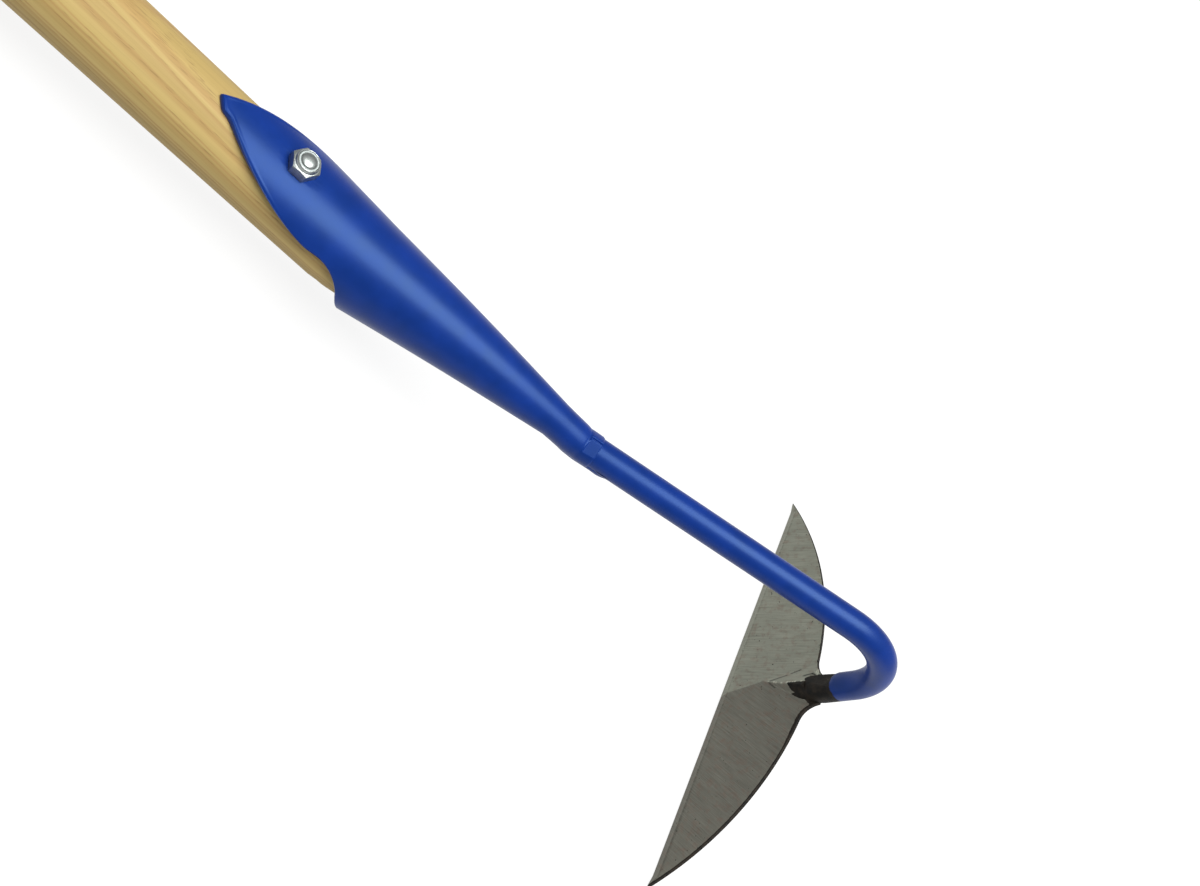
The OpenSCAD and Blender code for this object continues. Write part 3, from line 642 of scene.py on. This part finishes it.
# Facets are planes (a, b, c) of height a u + b w + c over the blade, marks (start, end, width,
# depth), waves as in ripple, and missed the line where the wheel stopped.
blade = {"rake": 68.0, "foot": (-283.173, -8.138), "height": 43.0, "width": 215.0, "thick": 2.0,
         "drop": 0.8, "bevel": 3.0, "bevelShare": 0.4, "edge": 0.4, "rimR": 0.15,
         "rearRound": 0.1, "lug": 6.3, "lugHalf": 6.5, "hollow": 12.0,
         "hollowMid": (17.5, -10.28), "hollowEnd": 16.3, "ridgeTip": 25.4,
         "farFacet": (0.4452, -0.2444, 7.11), "nearFacet": (-1.45, -0.41, 11.2),
         "backFacet": (0.0, 2.2, 2.32), "crestRound": 0.35, "backRound": 1.0, "footRound": 0.3,
         "waves": ((31.0, 24.0, 0.5, 0.06), (17.0, -29.0, 2.1, 0.05), (9.0, 13.0, 4.0, 0.025)),
         "meetTip": (0.5, 0.592), "grindTurn": (-8.5, 26.0), "missedLean": (0.846, 0.849),
         "missed": ((-3.9, 0.9, 3.0, 5.1, 7.3, 8.6), (16.3, 11.4, 6.8, 2.8, -0.3, -1.0)),
         "crestSway": 0.24, "rubbedAndGlint": 0.34, "crestPaintedGlint": 1.5, "rimBlack": 0.8,
         "bevelLine": 0.34, "bevelPaintedShade": 0.09,
         "nicks": ((0.55, 9.0, 0.3, 0.5), (0.23, 5.0, 1.9, 0.5)),
         "marks": (((0.3, 21.7), (-4.6, 14.0), 0.34, 0.85), ((-6.0, 12.2), (-8.9, 8.3), 0.36, 0.85),
                   ((-4.6, 4.6), (-8.3, -3.2), 0.55, 0.95), ((0.5, 21.7), (2.5, 18.0), 0.32, 0.8))}
rake = math.radians(blade["rake"])
towardEdge = np.array([math.cos(rake), 0, -math.sin(rake)])
outOfFace = np.array([math.sin(rake), 0, math.cos(rake)])
footPoint = np.array([blade["foot"][0], 0, blade["foot"][1]])


# Layout points to the blade's own u (to the near side), w (to the edge) and h (off the face).
def onBlade(points):
    gap = points - footPoint
    return gap @ sideAxis, gap @ towardEdge, gap @ outOfFace


# The way back: foot + u * side + w * edge direction + h * face normal.
def offBlade(u, w, h):
    u, w, h = u[..., None], w[..., None], h[..., None]
    return footPoint + u * sideAxis + w * towardEdge + h * outOfFace


# Height of one ground facet's plane: a u + b w + c.
def facet(which, u, w):
    a, b, c = blade[which]
    return a * u + b * w + c


# Points round the bar's line, from inside the socket to the blade. On the arm each line along the
# bar stops at the blade's face or at the plane that trims the heel, whichever is further, and what
# stands over the far facet near the foot is ground down to it.
def neckBar():
    s = np.concatenate([np.linspace(-21, 16, 30), np.arange(20, armFrom - 62, 4),
                        np.linspace(armFrom - 60, armFrom, 60)])[:, None]
    a = np.linspace(0, 2 * np.pi, 96, endpoint=False)
    body, start, end = [roundLine(at, neck["radius"], a)[0] for at in (s, armFrom, armFrom + 1.0)]
    u0, w0, h0 = onBlade(start)
    u1, w1, h1 = onBlade(end)
    slope, heelFrom = neck["heel"]
    floorHit = (neck["sink"] - h0) / (h1 - h0)
    heelHit = (neck["sink"] + slope * (w0 - heelFrom) - h0) / ((h1 - h0) - slope * (w1 - w0))
    t = np.linspace(0, 1, 50)[1:, None] * np.maximum(floorHit, heelHit)
    u, w, h = onBlade(start + (end - start) * t[..., None])
    excess = np.clip(h - facet("farFacet", u, w), 0, None)
    atFoot = 1 - smooth01(np.hypot(w, h), *neck["foot"])
    h = h - excess * neck["ground"] * atFoot
    u = u + excess * neck["spread"] * atFoot
    points = np.concatenate([body, offBlade(u, w, h)])
    # bare is how much of the paint is gone, by the distance from the blade's foot.
    fromFoot = np.concatenate([np.clip(60 + armFrom - s, 20, 400) + 0 * a, np.hypot(w, h)])
    bare = 1 - smooth01(fromFoot, *neck["bareTo"])
    caps = [points[k:k + 1] * 0 + points[k].mean(0) for k in (0, len(points) - 1)]
    return meshFromGrid("neckBar", np.concatenate([caps[0], points, caps[1]]), True,
                        fields={"bare": np.concatenate([bare[:1], bare, bare[-1:]])})


finishPiece("neckBar", neckBar(), barPaint, ["neck_bar"], 40)


# A bead under the crease: radius = base + bulge, where the bulge is the power 0.7 of
# 1 - (s / half)^2 - (angle / sweep)^4 and sinks into the collar all round its rim. A skin inside
# the collar closes it.
def collarWeld():
    bead = {"half": 14.0, "middle": 3.5, "sweep": 80.0, "rise": 0.55, "sink": 0.55, "skin": 0.9,
            "base": ((-12, -4, 2, 8, 13, 18), (7.2, 7.5, 6.75, 6.85, 7.35, 7.0)),
            "lumps": ((1.7, 1.9, 0.4, 0.09), (3.1, -2.3, 1.3, 0.12), (0.9, 1.1, 2.0, 0.04))}
    a = np.radians(np.linspace(180 - bead["sweep"], 180 + bead["sweep"], 70))
    s = np.linspace(-bead["half"], bead["half"], 40)[:, None]
    edge = (s / bead["half"]) ** 2 + (np.degrees(a - np.pi) / bead["sweep"]) ** 4
    dome = np.clip(1 - edge, 0, 1)
    bulge = (bead["rise"] + bead["sink"]) * dome ** 0.7 - bead["sink"]
    bulge = bulge + ripple(s, a * 7, bead["lumps"]) * dome
    base = softTable(*bead["base"], s + bead["middle"], 1.5)
    outer, inner = [roundLine(s + bead["middle"], radius, a)[0]
                    for radius in (base + bulge, base - bead["skin"] + 0 * a)]
    return meshFromGrid("collarWeld", np.concatenate([outer, inner[::-1]]), False, True)


finishPiece("collarWeld", collarWeld(), paint, ["neck_weld"], 60)


# The blade's two faces as grids over u and a share of the height, their back edge an arc, a lug
# with two hollows. Pulled face: the lowest of plate, rounded rim and bevel, and over it the
# ridge, the lowest of its three planes.
def halfMoonBlade():
    backR = (blade["width"] ** 2 / 4 + blade["height"] ** 2) / (2 * blade["height"])
    edgeW = blade["drop"] + blade["height"]
    half, tip = blade["thick"] / 2, blade["width"] / 2
    u = np.concatenate([np.linspace(-tip, -20, 90), np.linspace(-19, 17, 130),
                        np.linspace(18, tip, 90)])[None, :]
    back = blade["drop"] + backR - np.sqrt(np.clip(backR ** 2 - u ** 2, 0, None))
    lugTop = blade["drop"] - blade["lug"]
    midU, midW = blade["hollowMid"]
    hollow = midW + np.sqrt(np.clip(blade["hollow"] ** 2 - (midU - np.abs(u)) ** 2, 0, None))
    lug = np.where(np.abs(u) < blade["lugHalf"], lugTop,
                   np.where(np.abs(u) < blade["hollowEnd"], hollow, back))
    back = np.minimum(back, np.maximum(lug, lugTop))
    bevelW = np.maximum(edgeW - blade["bevel"], back + (edgeW - back) * blade["bevelShare"])
    share = np.linspace(0, 1, 110)[:, None]
    share = smooth01(share, 0, 1) * 0.35 + share * 0.65
    lower = bevelW + (edgeW - bevelW) * np.linspace(0, 1, 12)[1:, None]
    w = np.concatenate([back + (bevelW - back) * share, lower])
    u = u + 0 * w
    rimR = blade["rimR"]
    rim = np.clip(w - back, 0, rimR)
    face = half - rimR + np.sqrt(rimR ** 2 - (rimR - rim) ** 2)
    fall = (blade["thick"] - blade["edge"]) / blade["bevel"]
    face = np.minimum(face, half - fall * np.clip(w - bevelW, 0, None))
    inside = smooth01(w - back, 0, 4) * (1 - smooth01(w, bevelW - 1.5, bevelW))
    face = face + ripple(u, w, blade["waves"]) * inside
    ridge = softLeast(facet("farFacet", u, w), facet("nearFacet", u, w), blade["crestRound"])
    ridge = softLeast(ridge, facet("backFacet", u, w), blade["backRound"])
    top = -softLeast(-face, -ridge, blade["footRound"]) - blade["footRound"] / 4
    top = np.where(ridge > face - 0.4, np.maximum(top, face), face)
    front = offBlade(u, w, top)
    rear = offBlade(u, w, blade["rearRound"] * (1 - smooth01(w - back, 0, 0.2)) - half)
    # The two halves were ground apart: they meet on the crest, and past its tip on a slant line.
    (af, bf, cf), (an, bn, cn) = blade["farFacet"], blade["nearFacet"]
    crest = (cn - cf + (bn - bf) * w) / (af - an)
    pastTip = w - blade["ridgeTip"]
    meetU, meetSlope = blade["meetTip"]
    meet = np.where(pastTip > 0, meetU + meetSlope * pastTip, crest)
    # far marks the half whose steel is painted lighter, as painted reflection.
    far = 1 - smooth01(u - meet, -0.4, 0.4)
    angle = np.where(u < meet, *np.radians(blade["grindTurn"]))
    across = u * np.cos(angle) + w * np.sin(angle)
    along = w * np.cos(angle) - u * np.sin(angle)
    grind = np.stack([across, along, 0 * across], -1)
    # Left black: the near side of the ridge, as far as the wheel missed it, and the sheared rim.
    leanU, leanW = blade["missedLean"]
    missed = np.interp(u - leanU * top, *blade["missed"]) - (w + leanW * top)
    overCrest = u - crest + blade["crestSway"] * np.clip(14 - w, 0, 12)
    blackNear = smooth01(missed, -0.6, 0.8) * smooth01(overCrest, -0.3, 0.4)
    nicks = ripple(w, u, blade["nicks"])
    # Specks along the crest lose their scale, which is wear, and are painted brighter than the
    # steel, which is a painted glint.
    rubbedAndGlint = np.exp(-((overCrest + 0.1) / blade["rubbedAndGlint"]) ** 2) * smooth01(nicks, 0.05, 0.3)
    rubbedAndGlint = rubbedAndGlint * (w < 24)
    rimWide = np.where(u > 0, 1.6, 1.0) + 1.6 * smooth01(u, 3, 6) * (1 - smooth01(u, 18, 34))
    rimBlack = blade["rimBlack"] * (1 - smooth01((w - back) / rimWide, 0.25, 0.75))
    scaled = np.clip(blackNear + rimBlack, 0, 1) * (1 - rubbedAndGlint)
    # The bevel ends in a broken dark line and its strip is darkened as painted shade, dark marks
    # cross the far facet, and specks on its crest are rubbed bare of scale and painted bright as
    # painted glints.
    broken = 0.5 + 0.5 * np.sin(u * 2.1) * np.sin(u * 0.83 + 1)
    darkLine = blade["bevelLine"] * broken * np.exp(-((w - bevelW + 0.4) / 0.4) ** 2)
    # The rubbed specks are lifted far above the steel's own tone as painted glints.
    shade = 1 - darkLine + blade["crestPaintedGlint"] * rubbedAndGlint
    # Painted shade: the bevel strip faces the light differently, so its tone is darkened.
    shade = shade - blade["bevelPaintedShade"] * smooth01(w, bevelW, bevelW + 0.4)
    for (u0, w0), (u1, w1), wide, deep in blade["marks"]:
        du, dw = u1 - u0, w1 - w0
        share = np.clip(((u - u0) * du + (w - w0) * dw) / (du ** 2 + dw ** 2), 0, 1)
        off = np.hypot(u - u0 - share * du, w - w0 - share * dw)
        shade = shade - deep * np.exp(-(off / wide) ** 2)
    # The pulled face and the rear face join along their rims: rows run down one and up the other.
    sides = {"grind": (grind, grind), "litFarHalf": (far, far), "shade": (shade, 0 * shade + 1),
             "scaled": (scaled, rimBlack)}
    fields = {key: np.concatenate([pulled, behind[::-1]])
              for key, (pulled, behind) in sides.items()}
    return meshFromGrid("halfMoonBlade", np.concatenate([front, rear[::-1]]), False, True, fields)


finishPiece("halfMoonBlade", halfMoonBlade(), bladeSteel,
            ["blade", "blade_weld"], 30)


# Rounds a piece's crisp edges a little, as plated small parts are.
def softened(piece, width):
    edge = piece.modifiers.new("edge", "BEVEL")
    edge.width, edge.segments, edge.limit_method = width / 1000, 2, "ANGLE"
    edge.angle_limit = math.radians(28)


# A turned profile: domed head of radius (r^2 + h^2) / 2h, shank and a rounded end, a quarter
# ellipse.
def carriageBolt():
    cap = (bolt["headR"] ** 2 + bolt["headH"] ** 2) / (2 * bolt["headH"])
    domeR = np.linspace(0, bolt["headR"], 24)
    domeZ = bolt["headZ"] - bolt["headH"] + cap - np.sqrt(cap ** 2 - domeR ** 2)
    neckRows = [(bolt["headZ"], bolt["headR"] - 0.02), (bolt["headZ"], bolt["radius"])]
    t = np.linspace(0, np.pi / 2, 12)
    endZ = bolt["headZ"] + bolt["length"] - bolt["endH"] * (1 - np.sin(t))
    end = np.stack([endZ, bolt["radius"] * np.cos(t)], -1)
    profile = np.concatenate([np.stack([domeZ, domeR], -1), neckRows, end])
    return meshFromGrid("carriageBolt", turned(profile, 72, bolt["x"]), True)


# A hexagon of radius f / cos(angle to the nearest flat), its corners cut by a 30 degree cone,
# then the round collar, a quarter ellipse, and the lip that closes over the ring.
def lockNut():
    a = np.linspace(0, 2 * np.pi, 96, endpoint=False)
    top, bore = bolt["hexH"], bolt["bore"]
    hexR = bolt["flats"] / 2 / np.cos(np.mod(a, np.pi / 3) - np.pi / 6)
    land = bolt["flats"] / 2 - bolt["landIn"]
    chamfer = top - (hexR - land) * math.tan(math.radians(30))
    lipR, seatR = bolt["mouthR"]
    ringTop = bolt["ringZ"] + bolt["ringT"] - bolt["nutZ"]
    t = np.linspace(0, np.pi / 2, 9)
    collar = zip(lipR + (bolt["collarR"] - lipR) * np.cos(t), top + bolt["collarH"] * np.sin(t))
    rows = [(bore, 0), (hexR, 0), (hexR, chamfer), (land, top), (bolt["collarR"], top), *collar,
            (seatR, ringTop), (bore, ringTop), (bore, 0)]
    r, z = [np.stack([row[k] + 0 * a for row in rows]) for k in (0, 1)]
    points = np.stack([bolt["x"] + r * np.cos(a), r * np.sin(a), bolt["nutZ"] + z], -1)
    return meshFromGrid("lockNut", points, True)


# A flat ring that stands a little out of its collar, as (z, r) points round its section.
def lockRing():
    z0, z1, inner = bolt["ringZ"], bolt["ringZ"] + bolt["ringT"], bolt["ringBore"]
    z2 = z1 + bolt["ringRise"]
    foot, shoulder, brim = bolt["ringTopR"]
    profile = [(z0, inner), (z0, bolt["ringR"]), (z1, bolt["ringR"]), (z1, foot), (z2, shoulder),
               (z2, brim), (z1, inner), (z0, inner)]
    return meshFromGrid("lockRing", turned(profile, 72, bolt["x"]), True)


softened(finishPiece("carriageBolt", carriageBolt(), zinc, ["carriage_bolt"], 30),
         0.12)
softened(finishPiece("lockNut", lockNut(), zinc, ["lock_nut"], 24), 0.12)
softened(finishPiece("lockRing", lockRing(), nylon, ["lock_ring"], 30), 0.1)

# Studio: a glowing pale sheet, a large dim soft box far above, a strip box over the head whose
# image is the long light band on the socket and the bar, and a pale room.
studio = {"box": {"toward": (0.41, 0.02, 0.91), "away": 3.0, "size": (3.2, 3.2), "watts": 12.0},
          "strip": {"toward": (-0.14, 0.09, 0.99), "away": 3.0, "size": (1.9, 2.24),
                    "watts": 190.0},
          "head": (-110.0, 0.0, 10.0), "room": 0.36, "roomTint": "#f6f8fa", "floorHalf": 30.0}
floorMesh = bpy.data.meshes.new("paperFloor")
corners = [(x * studio["floorHalf"], y * studio["floorHalf"], 0)
           for x, y in ((-1, -1), (1, -1), (1, 1), (-1, 1))]
floorMesh.from_pydata(corners, [], [(0, 1, 2, 3)])
floorMesh.materials.append(newMaterial("palePaper", palePaper))
paperFloor = bpy.data.objects.new("paperFloor", floorMesh)
bpy.context.scene.collection.objects.link(paperFloor)

# Where the photo was taken from, in the hoe's layout, with its three directions.
shot = {"from": (71.928, 251.323, 364.061), "right": (-0.6716, -0.3831, 0.6342),
        "down": (-0.6284, 0.748, -0.2136), "ahead": (-0.3925, -0.542, -0.7431),
        "lens": 35.68, "sensor": 36.0}


# An object at a point, its axes along three directions of the hoe's layout.
def aimed(name, data, place, right, up, back):
    made = bpy.data.objects.new(name, data)
    turn = np.stack([np.asarray(v, float) @ axes for v in (right, up, back)], -1)
    full = np.eye(4)
    full[:3, :3], full[:3, 3] = turn, atRest(place)
    made.matrix_world = Matrix(full.tolist())
    bpy.context.scene.collection.objects.link(made)
    return made


photoCamera = bpy.data.cameras.new("photoCamera")
photoCamera.lens, photoCamera.sensor_width = shot["lens"], shot["sensor"]
photoCamera.sensor_fit, photoCamera.clip_start = "HORIZONTAL", 0.01
bpy.context.scene.camera = aimed("photoCamera", photoCamera, shot["from"], shot["right"],
                                 -np.array(shot["down"]), -np.array(shot["ahead"]))
for which in ("box", "strip"):
    light = studio[which]
    lamp = bpy.data.lights.new(which, "AREA")
    lamp.shape, (lamp.size, lamp.size_y), lamp.energy = "RECTANGLE", light["size"], light["watts"]
    toward = np.array(light["toward"]) / np.linalg.norm(light["toward"])
    lampRight = np.cross(sideAxis, toward)
    lampRight /= np.linalg.norm(lampRight)
    place = np.array(studio["head"]) + toward * light["away"] * 1000
    aimed(which, lamp, place, lampRight, np.cross(toward, lampRight), toward)
room = bpy.data.worlds.new("paleRoom")
room.use_nodes = True
background = room.node_tree.nodes["Background"].inputs
background["Color"].default_value = linearColour(studio["roomTint"])
background["Strength"].default_value = studio["room"]
bpy.context.scene.world = room
bpy.context.scene.view_settings.view_transform = "Standard"
print("stage: camera and light set")
